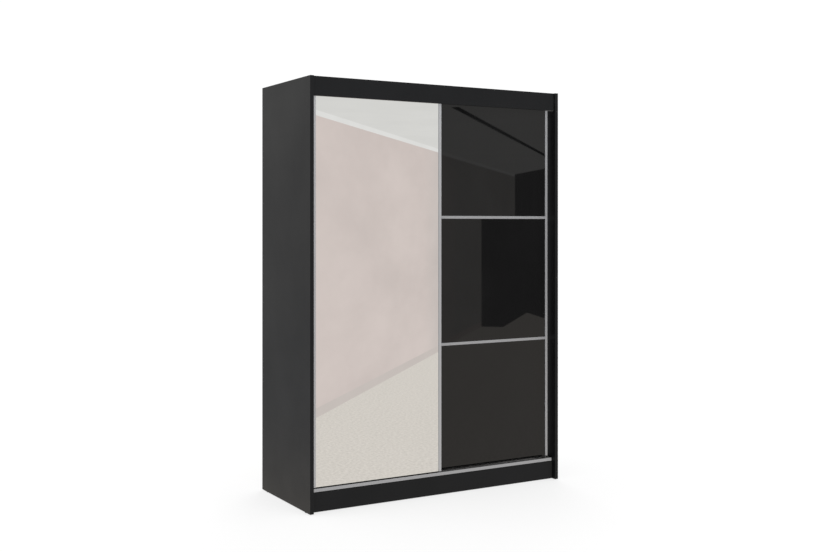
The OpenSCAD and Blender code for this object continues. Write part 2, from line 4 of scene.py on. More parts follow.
import bmesh
import bpy
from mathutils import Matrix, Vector

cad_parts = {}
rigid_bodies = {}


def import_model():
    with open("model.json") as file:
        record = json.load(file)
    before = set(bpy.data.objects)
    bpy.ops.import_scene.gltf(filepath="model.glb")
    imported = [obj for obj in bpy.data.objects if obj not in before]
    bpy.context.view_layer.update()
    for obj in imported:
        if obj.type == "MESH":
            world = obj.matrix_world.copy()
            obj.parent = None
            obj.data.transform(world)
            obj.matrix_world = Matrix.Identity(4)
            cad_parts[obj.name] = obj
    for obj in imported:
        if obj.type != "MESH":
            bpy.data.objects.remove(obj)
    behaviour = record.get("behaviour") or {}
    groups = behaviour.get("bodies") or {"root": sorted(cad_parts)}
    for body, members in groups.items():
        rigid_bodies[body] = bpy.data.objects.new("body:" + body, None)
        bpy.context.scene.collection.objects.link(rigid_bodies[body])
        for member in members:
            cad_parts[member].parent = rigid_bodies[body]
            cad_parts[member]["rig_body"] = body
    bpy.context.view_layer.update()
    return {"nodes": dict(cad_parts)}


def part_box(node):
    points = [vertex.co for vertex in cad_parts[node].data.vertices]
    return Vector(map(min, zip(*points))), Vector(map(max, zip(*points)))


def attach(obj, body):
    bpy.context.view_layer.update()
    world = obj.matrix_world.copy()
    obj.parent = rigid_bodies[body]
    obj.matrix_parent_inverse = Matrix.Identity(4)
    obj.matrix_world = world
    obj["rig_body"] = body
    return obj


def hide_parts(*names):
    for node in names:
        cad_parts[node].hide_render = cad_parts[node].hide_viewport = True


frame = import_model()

nodes = frame["nodes"]
print("frame loaded:", len(nodes), "nodes")

# camera: the verticals stay parallel, so it looks level and the view is shifted down a little
cameraSettings = {
    "place": (-2.997, -5.155, 1.408),
    "turn": 30.28,  # degrees from +Y towards +X
    "lens": 47.8,
    "sensor": 36.0,
    "rise": -0.0623,
}

floorSettings = {
    "size": 60.0,
    "white": 0.987,
    "shadow": 0.28,  # how much of the real shading shows through the white
    "shade": 0.9,
    "fade": (1.7, 3.2),  # the shading ends between these distances from the middle
    "beyond": 1.03,
}

# a plain room of glowing surfaces, painted light that only the glossy faces see: the mirror needs
# something to show
roomSettings = {
    "wallStart": (0.41, -2.64),  # a point that the long wall passes through
    "wallTurn": 46.5,  # degrees that it turns from +X towards -Y
    "before": 1.0,
    "beyond": 10.58,  # to the corner with the dark wall
    "darkTurn": 111.9,  # degrees of the dark wall from +X towards +Y
    "darkLength": 9.0,
    "height": 2.24,
    "corniceDrop": 0.04,
    "slotFromWall": 1.04,
    "slotWidth": 0.055,
    "skirting": 0.07,
    "cabinetFrom": 7.3,  # a dark cabinet stands before the wall from here to the corner
    "cabinetHeight": 1.5,
    "cabinetDepth": 0.3,
    "otherCorners": ((5, 6), (-7, 6), (-7, -6)),
    "reach": 30,  # the ceiling and the rug go this far from the middle each way
    "rugHeight": 0.001,
    "slotDrop": 0.002,
    "wallFade": (3.6, 5.6),  # where the wall's tone changes along its length
    "rugFade": (0.76, 1.4),  # where the rug's glow turns darker on the left: painted shade for the low part of the side panel's reflection
}

roomColors = {
    "wall": (0.68, 0.595, 0.565),
    "wallBeyond": (0.55, 0.53, 0.505),
    "dark": (0.175, 0.17, 0.168),
    "cabinet": (0.175, 0.17, 0.168),
    "ceiling": (0.725, 0.715, 0.695),
    "cornice": (0.80, 0.79, 0.775),
    "slot": (0.10, 0.10, 0.10),
    "skirting": (0.62, 0.56, 0.53),
    "rug": (0.71, 0.665, 0.615),
    "rugBeyond": (0.50, 0.50, 0.505),
    "plain": (0.56, 0.55, 0.54),
}

lightSettings = {
    "sky": 1.0,
    "backdrop": 1.03,
    "key": {"place": (-3.8, 1.2, 3.6), "target": (-0.7, 0, 1.0), "size": (2.6, 2.6), "power": 45},
    "front": {"place": (1.3, -4.6, 3.2), "target": (0, 0, 0.9), "size": (3.0, 2.4), "power": 60},
    "rear": {"place": (2.8, 4.2, 3.2), "target": (0, 0, 0.9), "size": (3.2, 2.4), "power": 130},
}


def newMaterial(name):
    material = bpy.data.materials.new(name)
    material.use_nodes = True
    material.node_tree.nodes.clear()
    return material, material.node_tree


def link(tree, source, target):
    tree.links.new(source, target)


def setOrLink(tree, socket, value):
    if isinstance(value, tuple):
        socket.default_value = (*value, 1) if len(socket.default_value) == 4 else value
    elif isinstance(value, (int, float)):
        socket.default_value = value
    else:
        tree.links.new(value, socket)


def mathNode(tree, operation, a, b=0.0, clamp=False):
    node = tree.nodes.new("ShaderNodeMath")
    node.operation, node.use_clamp = operation, clamp
    setOrLink(tree, node.inputs[0], a)
    setOrLink(tree, node.inputs[1], b)
    return node.outputs[0]


def vectorMath(tree, operation, a, b=(0, 0, 0)):
    node = tree.nodes.new("ShaderNodeVectorMath")
    node.operation = operation
    link(tree, a, node.inputs[0])
    setOrLink(tree, node.inputs[1], b)
    return node.outputs


def rangeNode(tree, value, fromLow, fromHigh, toLow=0.0, toHigh=1.0):
    node = tree.nodes.new("ShaderNodeMapRange")
    node.clamp = True
    numbers = (value, fromLow, fromHigh, toLow, toHigh)
    for label, number in zip(("Value", "From Min", "From Max", "To Min", "To Max"), numbers):
        setOrLink(tree, node.inputs[label], number)
    return node.outputs["Result"]


def noiseNode(tree, vector, scale, detail=2.0, roughness=0.5):
    node = tree.nodes.new("ShaderNodeTexNoise")
    link(tree, vector, node.inputs["Vector"])
    for label, value in (("Scale", scale), ("Detail", detail), ("Roughness", roughness)):
        setOrLink(tree, node.inputs[label], value)
    return node.outputs["Fac"]


def stretched(tree, vector, scale):
    node = tree.nodes.new("ShaderNodeMapping")
    node.inputs["Scale"].default_value = scale
    link(tree, vector, node.inputs["Vector"])
    return node.outputs["Vector"]


def objectCoords(tree):
    return tree.nodes.new("ShaderNodeTexCoord").outputs["Object"]


def mixColor(tree, factor, a, b):
    node = tree.nodes.new("ShaderNodeMix")
    node.data_type = "RGBA"
    for socket, value in ((node.inputs[0], factor), (node.inputs[6], a), (node.inputs[7], b)):
        setOrLink(tree, socket, value)
    return node.outputs[2]


def newObject(name, data):
    obj = bpy.data.objects.new(name, data)
    bpy.context.scene.collection.objects.link(obj)
    return obj


def meshObject(name, verts, faces):
    mesh = bpy.data.meshes.new(name)
    mesh.from_pydata([tuple(v) for v in verts], [], faces)
    mesh.update()
    return newObject(name, mesh)


def addCamera(s):
    data = bpy.data.cameras.new("studioCamera")
    data.lens, data.sensor_width, data.shift_y = s["lens"], s["sensor"], s["rise"]
    camera = newObject("studioCamera", data)
    camera.location = s["place"]
    camera.rotation_euler = (math.radians(90), 0, -math.radians(s["turn"]))
    bpy.context.scene.camera = camera


def addFloor(s):
    half = s["size"] / 2
    corners = [(-half, -half, 0), (half, -half, 0), (half, half, 0), (-half, half, 0)]
    floor = meshObject("studioFloor", corners, [(0, 1, 2, 3)])
    material, tree = newMaterial("studioFloor")
    out = tree.nodes.new("ShaderNodeOutputMaterial")
    distance = vectorMath(tree, "LENGTH", objectCoords(tree))["Value"]
    near = rangeNode(tree, distance, s["fade"][1], s["fade"][0])
    white = tree.nodes.new("ShaderNodeEmission")
    link(tree, rangeNode(tree, near, 0.0, 1.0, s["beyond"], s["white"]), white.inputs["Strength"])
    shaded = tree.nodes.new("ShaderNodeBsdfDiffuse")
    shaded.inputs["Color"].default_value = (s["shade"], s["shade"], s["shade"], 1)
    mix = tree.nodes.new("ShaderNodeMixShader")
    link(tree, mathNode(tree, "MULTIPLY", near, s["shadow"]), mix.inputs["Fac"])
    link(tree, white.outputs["Emission"], mix.inputs[1])
    link(tree, shaded.outputs["BSDF"], mix.inputs[2])
    link(tree, mix.outputs["Shader"], out.inputs["Surface"])
    floor.data.materials.append(material)
    floor.visible_glossy = False


def glowMaterial(name, mottling, scale, fade=None):
    # fade: the direction in the floor plan, then where along it the second colour begins and is full
    material, tree = newMaterial("room" + name.capitalize())
    out = tree.nodes.new("ShaderNodeOutputMaterial")
    glow = tree.nodes.new("ShaderNodeEmission")
    coords = objectCoords(tree)
    spots = noiseNode(tree, stretched(tree, coords, scale), 1.0, 6.0, 0.62)
    color = roomColors[name]
    if fade:
        along, begins, full = fade
        distance = vectorMath(tree, "DOT_PRODUCT", coords, tuple(along))["Value"]
        share = rangeNode(tree, distance, begins, full)
        color = mixColor(tree, share, color, roomColors[name + "Beyond"])
    tone = rangeNode(tree, spots, 0.34, 0.66, 1 - mottling, 1 + mottling)
    setOrLink(tree, glow.inputs["Color"], color)
    link(tree, tone, glow.inputs["Strength"])
    link(tree, glow.outputs["Emission"], out.inputs["Surface"])
    return material


def reflectedSurface(name, verts, faces, mottling=0.0, scale=(1.6, 1.6, 1.6), fade=None):
    surface = meshObject("room" + name.capitalize(), verts, faces)
    surface.data.materials.append(glowMaterial(name, mottling, scale, fade))
    surface.visible_camera = surface.visible_diffuse = surface.visible_shadow = False
    surface.visible_transmission = surface.visible_volume_scatter = False


def band(path, low, high):
    verts = [(p.x, p.y, z) for z in (low, high) for p in path]
    count = len(path)
    return verts, [(i, i + 1, count + i + 1, count + i) for i in range(count - 1)]


def addRoom(s):
    turn = math.radians(s["wallTurn"])
    along = Vector((math.cos(turn), -math.sin(turn), 0))
    inward = Vector((math.sin(turn), math.cos(turn), 0))
    through = Vector((*s["wallStart"], 0))
    first = through - along * s["before"]
    corner = through + along * s["beyond"]
    darkTurn = math.radians(s["darkTurn"])
    darkEnd = corner + Vector((math.cos(darkTurn), math.sin(darkTurn), 0)) * s["darkLength"]
    around = [darkEnd, *(Vector((x, y, 0)) for x, y in s["otherCorners"]), first]
    top = s["height"]
    wallTop = top - s["corniceDrop"]
    offset = through.dot(along)
    fade = (along, offset + s["wallFade"][0], offset + s["wallFade"][1])
    reflectedSurface("wall", *band([first, corner], s["skirting"], wallTop), 0.05, (0.5, 0.5, 1.5), fade)
    forward = inward * s["cabinetDepth"]
    cabinetStart = through + along * s["cabinetFrom"]
    cabinet = [cabinetStart, cabinetStart + forward, corner + forward]
    reflectedSurface("cabinet", *band(cabinet, 0, s["cabinetHeight"]), 0.04)
    reflectedSurface("skirting", *band([first, corner], 0, s["skirting"]), 0.02)
    reflectedSurface("cornice", *band([first, corner], wallTop, top), 0.02)
    reflectedSurface("dark", *band([corner, darkEnd], 0, top), 0.06, (2, 2, 0.2))
    reflectedSurface("plain", *band(around, 0, top), 0.05)
    reach = s["reach"]
    square = [(-reach, -reach), (reach, -reach), (reach, reach), (-reach, reach)]
    reflectedSurface("ceiling", [(x, y, top) for x, y in square], [(0, 1, 2, 3)], 0.02)
    rug = [(x, y, s["rugHeight"]) for x, y in square]
    # painted shade: the rug's glow turns darker to the left of the case
    darker = (Vector((-1, 0, 0)), *s["rugFade"])
    reflectedSurface("rug", rug, [(0, 1, 2, 3)], 0.13, (55, 55, 55), darker)
    near = through + inward * s["slotFromWall"] + Vector((0, 0, top - s["slotDrop"]))
    across = inward * s["slotWidth"]
    slot = [near, near + along * s["beyond"], near + along * s["beyond"] + across, near + across]
    reflectedSurface("slot", slot, [(0, 1, 2, 3)], 0.02)


def addSoftbox(name, place, target, size, power):
    data = bpy.data.lights.new(name + "Softbox", "AREA")
    data.shape, data.size, data.size_y, data.energy = "RECTANGLE", size[0], size[1], power
    light = newObject(name + "Softbox", data)
    light.location = place
    light.rotation_euler = (Vector(target) - Vector(place)).to_track_quat("-Z", "Y").to_euler()
    light.visible_glossy = False


def addSky(s):
    world = bpy.data.worlds.new("studio")
    bpy.context.scene.world = world
    world.use_nodes = True
    tree = world.node_tree
    tree.nodes.clear()
    out = tree.nodes.new("ShaderNodeOutputWorld")
    mix = tree.nodes.new("ShaderNodeMixShader")
    path = tree.nodes.new("ShaderNodeLightPath")
    link(tree, path.outputs["Is Camera Ray"], mix.inputs["Fac"])
    for slot, strength in ((1, s["sky"]), (2, s["backdrop"])):
        light = tree.nodes.new("ShaderNodeBackground")
        light.inputs["Color"].default_value = (1, 1, 1, 1)
        light.inputs["Strength"].default_value = strength
        link(tree, light.outputs["Background"], mix.inputs[slot])
    link(tree, mix.outputs["Shader"], out.inputs["Surface"])


addCamera(cameraSettings)
addFloor(floorSettings)
addRoom(roomSettings)
addSky(lightSettings)
for lightName in ("key", "front", "rear"):
    addSoftbox(lightName, **lightSettings[lightName])
bpy.context.scene.view_settings.view_transform = "Standard"
print("camera, floor, room and lights placed")


# shader groups: each puts out a mask, a value or a colour that changes over the surface


def newGroup(name, inputs, outputs):
    # inputs gives each one's default; every output is a number, apart from one called Color
    group = bpy.data.node_groups.new(name, "ShaderNodeTree")
    for label, value in inputs.items():
        kind = "NodeSocketVector" if isinstance(value, tuple) else "NodeSocketFloat"
        group.interface.new_socket(label, in_out="INPUT", socket_type=kind).default_value = value
    for label in outputs:
        kind = "NodeSocketColor" if label == "Color" else "NodeSocketFloat"
        group.interface.new_socket(label, in_out="OUTPUT", socket_type=kind)
    return group, group.nodes.new("NodeGroupInput").outputs, group.nodes.new("NodeGroupOutput").inputs


def makeEdgeWear():
    inputs = {"Radius": 0.0015, "Breakup": 60.0, "Amount": 0.5}
    group, given, out = newGroup("edgeWear", inputs, ["Mask"])
    bevel = group.nodes.new("ShaderNodeBevel")
    bevel.samples = 4
    link(group, given["Radius"], bevel.inputs["Radius"])
    geometry = group.nodes.new("ShaderNodeNewGeometry")
    normals = (bevel.outputs["Normal"], geometry.outputs["Normal"])
    alike = vectorMath(group, "DOT_PRODUCT", *normals)["Value"]  # 1 away from every edge
    edge = rangeNode(group, alike, 0.995, 0.80)
    spots = noiseNode(group, objectCoords(group), given["Breakup"], 3.0, 0.6)
    mask = mathNode(group, "MULTIPLY", edge, rangeNode(group, spots, 0.42, 0.62))
    link(group, mathNode(group, "MULTIPLY", mask, given["Amount"], True), out["Mask"])
    return group


def makeSurfaceDust():
    # most of it on what faces up, in patches with fine specks
    group, given, out = newGroup("surfaceDust", {"Amount": 0.3, "Patch Scale": 4.0}, ["Mask"])
    geometry = group.nodes.new("ShaderNodeNewGeometry")
    split = group.nodes.new("ShaderNodeSeparateXYZ")
    link(group, geometry.outputs["Normal"], split.inputs["Vector"])
    upward = rangeNode(group, split.outputs["Z"], 0.3, 1.0, 0.06, 1.0)
    coords = objectCoords(group)
    patches = rangeNode(group, noiseNode(group, coords, given["Patch Scale"], 5.0, 0.65), 0.35, 0.75)
    specks = rangeNode(group, noiseNode(group, coords, 900.0, 1.0, 0.5), 0.55, 0.75, 0.35, 1.0)
    mask = mathNode(group, "MULTIPLY", mathNode(group, "MULTIPLY", patches, specks), upward)
    link(group, mathNode(group, "MULTIPLY", mask, given["Amount"], True), out["Mask"])
    return group


def makePearlGrain():
    inputs = {"Grain Size": 700.0, "Smudge Scale": 5.0}
    group, given, out = newGroup("pearlGrain", inputs, ["Height", "Smudge"])
    coords = objectCoords(group)
    link(group, noiseNode(group, coords, given["Grain Size"], 2.0, 0.6), out["Height"])
    smudge = noiseNode(group, coords, given["Smudge Scale"], 4.0, 0.55)
    link(group, rangeNode(group, smudge, 0.35, 0.65), out["Smudge"])
    return group


def makeBrushedLines():
    inputs = {"Along": (6.0, 1500.0, 1500.0), "Contrast": 0.5}
    group, given, out = newGroup("brushedLines", inputs, ["Lines", "Height"])
    coords = vectorMath(group, "MULTIPLY", objectCoords(group), given["Along"])["Vector"]
    lines = noiseNode(group, coords, 1.0, 3.0, 0.6)
    spread = mathNode(group, "MULTIPLY", mathNode(group, "SUBTRACT", lines, 0.5), given["Contrast"])
    link(group, mathNode(group, "ADD", spread, 0.5, True), out["Lines"])
    link(group, lines, out["Height"])
    return group


def makeWoodChips():
    group, given, out = newGroup("woodChips", {"Chip Scale": 240.0}, ["Color", "Height"])
    chips = group.nodes.new("ShaderNodeTexVoronoi")
    link(group, stretched(group, objectCoords(group), (1, 1, 2.2)), chips.inputs["Vector"])
    link(group, given["Chip Scale"], chips.inputs["Scale"])
    split = group.nodes.new("ShaderNodeSeparateColor")
    link(group, chips.outputs["Color"], split.inputs["Color"])
    tone = mixColor(group, split.outputs[0], (0.22, 0.145, 0.085), (0.50, 0.37, 0.235))
    link(group, tone, out["Color"])
    link(group, chips.outputs["Distance"], out["Height"])
    return group


edgeWear = makeEdgeWear()
surfaceDust = makeSurfaceDust()
pearlGrain = makePearlGrain()
brushedLines = makeBrushedLines()
woodChips = makeWoodChips()
print("shader groups made")


def groupNode(tree, group, **values):
    node = tree.nodes.new("ShaderNodeGroup")
    node.node_tree = group
    for label, value in values.items():
        node.inputs[label.replace("_", " ")].default_value = value
    return node.outputs


def principled(tree, **values):
    out = tree.nodes.new("ShaderNodeOutputMaterial")
    shader = tree.nodes.new("ShaderNodeBsdfPrincipled")
    for label, value in values.items():
        shader.inputs[label.replace("_", " ")].default_value = value
    link(tree, shader.outputs["BSDF"], out.inputs["Surface"])
    return shader.inputs


def roughen(tree, shader, mask, roughness, full=1.0):
    # the mask runs from 0 to full, the roughness from its first value to its second
    link(tree, rangeNode(tree, mask, 0.0, full, *roughness), shader["Roughness"])


def emboss(tree, shader, height, strength, distance):
    node = tree.nodes.new("ShaderNodeBump")
    node.inputs["Strength"].default_value = strength
    node.inputs["Distance"].default_value = distance
    link(tree, height, node.inputs["Height"])
    link(tree, node.outputs["Normal"], shader["Normal"])


def scaled(color, factor):
    return tuple(c * factor for c in color)


# black melamine has almost no colour of its own, so its tone is the soft sheen of a fine pearl grain
melamineSettings = {
    "blackBoard": {"color": (0.0050, 0.0050, 0.0054), "worn": (0.030, 0.029, 0.028), "dust": 0.05},
    "innerBoard": {"color": (0.030, 0.030, 0.032), "worn": (0.075, 0.073, 0.070), "dust": 0.04},
}
melamineSheen = {
    "ior": 1.30,
    "tint": (0.88, 0.94, 1.0, 1),
    "roughness": (0.36, 0.44),
    "grain": 620.0,
    "bump": 0.55,
    "depth": 0.00016,
}
dustColor = (0.30, 0.29, 0.28)


def melamine(name, color, worn, dust):
    material, tree = newMaterial(name)
    sheen = melamineSheen
    shader = principled(tree, IOR=sheen["ior"], Specular_Tint=sheen["tint"])
    surface = groupNode(tree, pearlGrain, Grain_Size=sheen["grain"], Smudge_Scale=3.0)
    wear = groupNode(tree, edgeWear, Radius=0.0012, Breakup=70.0, Amount=0.35)
    dusty = groupNode(tree, surfaceDust, Amount=dust, Patch_Scale=3.0)
    base = mixColor(tree, surface["Smudge"], color, scaled(color, 1.3))
    rubbed = mixColor(tree, wear["Mask"], base, worn)
    link(tree, mixColor(tree, dusty["Mask"], rubbed, dustColor), shader["Base Color"])
    roughen(tree, shader, surface["Smudge"], sheen["roughness"])
    emboss(tree, shader, surface["Height"], sheen["bump"], sheen["depth"])
    return material


bandSettings = {
    "ior": 1.31,
    "color": (0.0052, 0.0052, 0.0056),
    "worn": (0.045, 0.044, 0.042),
    "roughness": (0.30, 0.40),
}


def edgeBand(name, ior, color, worn, roughness):
    material, tree = newMaterial(name)
    shader = principled(tree, IOR=ior, Specular_Tint=melamineSheen["tint"])
    surface = groupNode(tree, pearlGrain, Grain_Size=1100.0, Smudge_Scale=9.0)
    wear = groupNode(tree, edgeWear, Radius=0.0009, Breakup=110.0, Amount=0.4)
    link(tree, mixColor(tree, wear["Mask"], color, worn), shader["Base Color"])
    roughen(tree, shader, surface["Smudge"], roughness)
    emboss(tree, shader, surface["Height"], 0.25, 0.0001)
    return material


def chipboard(name):
    material, tree = newMaterial(name)
    shader = principled(tree, IOR=1.45)
    chips = groupNode(tree, woodChips, Chip_Scale=240.0)
    link(tree, chips["Color"], shader["Base Color"])
    roughen(tree, shader, chips["Height"], (0.75, 0.95), 0.6)
    emboss(tree, shader, chips["Height"], 0.6, 0.0006)
    return material


# metals: base colour, roughness from and to, how far the grain is stretched along each axis,
# its contrast, its bump, and how metallic the surface is
metalSettings = {
    # the horizontal pieces' metal is a darker copy of the stiles' anodised metal: painted shade
    "anodisedAlongX": ((0.415, 0.428, 0.45), (0.34, 0.46), (5, 1600, 1600), 0.5, 0.10, 0.72),
    "anodisedAlongZ": ((0.495, 0.51, 0.535), (0.34, 0.46), (1600, 1600, 5), 0.5, 0.10, 0.72),
    # painted shade: a darker copy of the track metal for the inside of the lower track
    "trackInside": ((0.13, 0.13, 0.132), (0.45, 0.6), (5, 900, 900), 0.7, 0.1, 0.72),
    "zincSteel": ((0.58, 0.585, 0.565), (0.26, 0.46), (220, 220, 220), 0.9, 0.2, 1.0),
    "castMetal": ((0.50, 0.50, 0.505), (0.35, 0.55), (500, 500, 500), 0.8, 0.3, 1.0),
    "nickelPin": ((0.66, 0.645, 0.61), (0.14, 0.26), (400, 400, 400), 0.5, 0.1, 1.0),
    "chromeRail": ((0.78, 0.785, 0.80), (0.05, 0.12), (3, 900, 900), 0.4, 0.03, 1.0),
}


rubbedMetal = (0.80, 0.80, 0.80)


def metal(name, color, roughness, along, contrast, bump, metallic):
    material, tree = newMaterial(name)
    shader = principled(tree, Metallic=metallic)
    lines = groupNode(tree, brushedLines, Along=along, Contrast=contrast)
    wear = groupNode(tree, edgeWear, Radius=0.0008, Breakup=90.0, Amount=0.35)
    base = mixColor(tree, lines["Lines"], scaled(color, 0.88), scaled(color, 1.1))
    link(tree, mixColor(tree, wear["Mask"], base, rubbedMetal), shader["Base Color"])
    roughen(tree, shader, lines["Lines"], roughness)
    emboss(tree, shader, lines["Height"], bump, 0.00005)
    return material


plasticSettings = {
    "blackPlastic": {"color": (0.016, 0.016, 0.017), "roughness": (0.40, 0.56), "grain": 1400.0},
    "nylon": {"color": (0.62, 0.61, 0.56), "roughness": (0.32, 0.45), "grain": 900.0},
    "backPaint": {"color": (0.10, 0.105, 0.11), "roughness": (0.5, 0.65), "grain": 800.0},
}


def mouldedPlastic(name, color, roughness, grain):
    material, tree = newMaterial(name)
    shader = principled(tree, IOR=1.49)
    surface = groupNode(tree, pearlGrain, Grain_Size=grain, Smudge_Scale=30.0)
    wear = groupNode(tree, edgeWear, Radius=0.0006, Breakup=160.0, Amount=0.4)
    base = mixColor(tree, surface["Smudge"], color, scaled(color, 1.18))
    rubbed = tuple(min(c * 1.6 + 0.02, 0.9) for c in color)
    link(tree, mixColor(tree, wear["Mask"], base, rubbed), shader["Base Color"])
    roughen(tree, shader, surface["Smudge"], roughness)
    emboss(tree, shader, surface["Height"], 0.3, 0.00008)
    return material


# glass: the two colours that its faint film of smudges shows, and the dust that lies over them
glassSettings = {
    "mirrorGlass": {
        "surface": {"Metallic": 1.0},
        "film": ((0.885, 0.897, 0.89), (0.90, 0.91, 0.905)),
        "smudges": 3.5,
        "roughness": (0.004, 0.014),
        "dust": {"Amount": 0.3, "Patch_Scale": 5.0},
        "dusty": (0.80, 0.80, 0.79),
    },
    "blackGlass": {
        "surface": {"IOR": 1.465},
        "film": ((0.0018, 0.0018, 0.0020), (0.0026, 0.0026, 0.0028)),
        "smudges": 3.0,
        "roughness": (0.010, 0.026),
        "dust": {"Amount": 0.25, "Patch_Scale": 6.0},
        "dusty": (0.06, 0.06, 0.06),
    },
}


def coatedGlass(name, surface, film, smudges, roughness, dust, dusty):
    material, tree = newMaterial(name)
    shader = principled(tree, **surface)
    smudge = groupNode(tree, pearlGrain, Grain_Size=500.0, Smudge_Scale=smudges)["Smudge"]
    mask = groupNode(tree, surfaceDust, **dust)["Mask"]
    clean = mixColor(tree, smudge, *film)
    link(tree, mixColor(tree, mask, clean, dusty), shader["Base Color"])
    roughen(tree, shader, smudge, roughness)
    return material


edgeColors = {
    "greenEdge": ((0.10, 0.19, 0.16), (0.04, 0.10, 0.08)),
    "darkEdge": ((0.012, 0.020, 0.018), (0.005, 0.008, 0.008)),
}


def glassEdge(name, shallow, deep):
    material, tree = newMaterial(name)
    shader = principled(tree, IOR=1.52, Roughness=0.22)
    ripple = noiseNode(tree, stretched(tree, objectCoords(tree), (40, 900, 40)), 1.0, 2.0, 0.5)
    link(tree, mixColor(tree, ripple, shallow, deep), shader["Base Color"])
    emboss(tree, shader, ripple, 0.2, 0.0001)
    return material


hardboardSettings = {
    "fibre": 420,
    "brown": ((0.085, 0.045, 0.022), (0.235, 0.140, 0.074)),
    "cloud": (0.125, 0.070, 0.037),
    "lacquer": ((0.016, 0.016, 0.017), (0.024, 0.024, 0.025)),
    "roughness": (0.34, 0.82),  # the lacquered side, then the rough one
    "skin": 0.0004,  # how deep the lacquered side goes
}


def hardboard(name, s):
    # the rough brown side is everything behind the inner face of the back sheets
    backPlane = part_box("back_panel_left")[0].y + s["skin"]
    material, tree = newMaterial(name)
    shader = principled(tree, IOR=1.45)
    coords = objectCoords(tree)
    fibres = noiseNode(tree, stretched(tree, coords, (s["fibre"],) * 3), 1.0, 4.0, 0.7)
    clouds = rangeNode(tree, noiseNode(tree, coords, 3.0, 4.0, 0.6), 0.35, 0.65, 0.0, 0.5)
    brown = mixColor(tree, fibres, *s["brown"])
    cloudy = mixColor(tree, clouds, brown, s["cloud"])
    lacquer = mixColor(tree, fibres, *s["lacquer"])
    split = tree.nodes.new("ShaderNodeSeparateXYZ")
    link(tree, coords, split.inputs["Vector"])
    outside = mathNode(tree, "GREATER_THAN", split.outputs["Y"], backPlane)
    link(tree, mixColor(tree, outside, lacquer, cloudy), shader["Base Color"])
    screen = tree.nodes.new("ShaderNodeTexChecker")  # the press screen's print on the rough side
    screen.inputs["Scale"].default_value = s["fibre"]
    link(tree, coords, screen.inputs["Vector"])
    pressed = mathNode(tree, "MULTIPLY", screen.outputs["Fac"], outside)
    height = mathNode(tree, "ADD", mathNode(tree, "MULTIPLY", pressed, 0.35), fibres)
    roughen(tree, shader, outside, s["roughness"])
    emboss(tree, shader, height, 0.4, 0.00025)
    return material


beechColors = ((0.44, 0.30, 0.17), (0.64, 0.47, 0.30))
pileColors = ((0.035, 0.035, 0.037), (0.12, 0.12, 0.125))


def beech(name):
    material, tree = newMaterial(name)
    shader = principled(tree, IOR=1.45)
    rays = noiseNode(tree, stretched(tree, objectCoords(tree), (60, 1600, 1600)), 1.0, 3.0, 0.6)
    link(tree, mixColor(tree, rays, *beechColors), shader["Base Color"])
    roughen(tree, shader, rays, (0.55, 0.72))
    emboss(tree, shader, rays, 0.4, 0.0002)
    return material


def pileFabric(name):
    material, tree = newMaterial(name)
    shader = principled(tree, Sheen_Weight=0.4, Sheen_Roughness=0.5)
    tufts = noiseNode(tree, objectCoords(tree), 900.0, 2.0, 0.6)
    link(tree, mixColor(tree, tufts, *pileColors), shader["Base Color"])
    roughen(tree, shader, tufts, (0.75, 0.95))
    return material


materials = {name: melamine(name, **values) for name, values in melamineSettings.items()}
materials.update({name: metal(name, *values) for name, values in metalSettings.items()})
materials.update({name: mouldedPlastic(name, **values) for name, values in plasticSettings.items()})
materials.update({name: coatedGlass(name, **values) for name, values in glassSettings.items()})
materials.update({name: glassEdge(name, *colors) for name, colors in edgeColors.items()})
materials["bandBlack"] = edgeBand("bandBlack", **bandSettings)
materials["chipboard"] = chipboard("chipboard")
materials["beech"] = beech("beech")
materials["pile"] = pileFabric("pile")
materials["hardboard"] = hardboard("hardboard", hardboardSettings)
print("materials made:", len(materials))


# mesh helpers: every piece starts from a merged copy of its frame node or from points worked out from it
mergeDistance = 1e-6
flatAngle = 1  # degrees: flatter edges inside a face are dissolved
sharpAngle = 30  # degrees: sharper edges are rounded or kept crisp


def cleanCopy(node, name):
    copy = newObject(name, nodes[node].data.copy())
    copy.data.name = name
    working = bmesh.new()
    working.from_mesh(copy.data)
    bmesh.ops.remove_doubles(working, verts=working.verts, dist=mergeDistance)
    limit = math.radians(flatAngle)
    bmesh.ops.dissolve_limit(working, angle_limit=limit, verts=working.verts, edges=working.edges)
    working.to_mesh(copy.data)
    working.free()
    copy.data.materials.clear()
    return copy


def settle(obj):
    graph = bpy.context.evaluated_depsgraph_get()
    mesh = bpy.data.meshes.new_from_object(obj.evaluated_get(graph))
    obj.modifiers.clear()
    old = obj.data
    obj.data = mesh
    bpy.data.meshes.remove(old)
    mesh.name = obj.name


def isOnBox(edge, corners, reach=1e-5):
    # an edge of the outer box has both ends on the same two of its planes
    shared = 0
    for axis in range(3):
        for corner in corners:
            if all(abs(v.co[axis] - corner[axis]) < reach for v in edge.verts):
                shared += 1
    return shared == 2


def soften(obj, width, segments=2, corners=None):
    # corners limits the rounding to the outer box, which leaves the rims of the bores crisp
    working = bmesh.new()
    working.from_mesh(obj.data)
    weights = working.edges.layers.float.new("bevel_weight_edge")
    for edge in working.edges:
        isSharp = edge.calc_face_angle(0.0) > math.radians(sharpAngle)
        isRounded = isSharp and (corners is None or isOnBox(edge, corners))
        edge[weights] = 1.0 if isRounded else 0.0
        edge.smooth = not (isSharp and not isRounded)
    for face in working.faces:
        face.smooth = True
    working.to_mesh(obj.data)
    working.free()
    bevel = obj.modifiers.new("softEdge", "BEVEL")
    bevel.width, bevel.segments = width, segments
    bevel.limit_method, bevel.use_clamp_overlap = "WEIGHT", True
    flat = obj.modifiers.new("flatFaces", "WEIGHTED_NORMAL")
    flat.keep_sharp, flat.weight = True, 100
    settle(obj)


def claim(obj, node):
    # the piece stays inside the box of the frame node that it stands for, and takes its body
    low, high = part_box(node)
    for vert in obj.data.vertices:
        vert.co = [min(max(c, a), b) for c, a, b in zip(vert.co, low, high)]
    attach(obj, nodes[node]["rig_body"])
    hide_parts(node)


def pieceName(node):
    first, *others = node.split("_")
    return first + "".join(word.capitalize() for word in others)


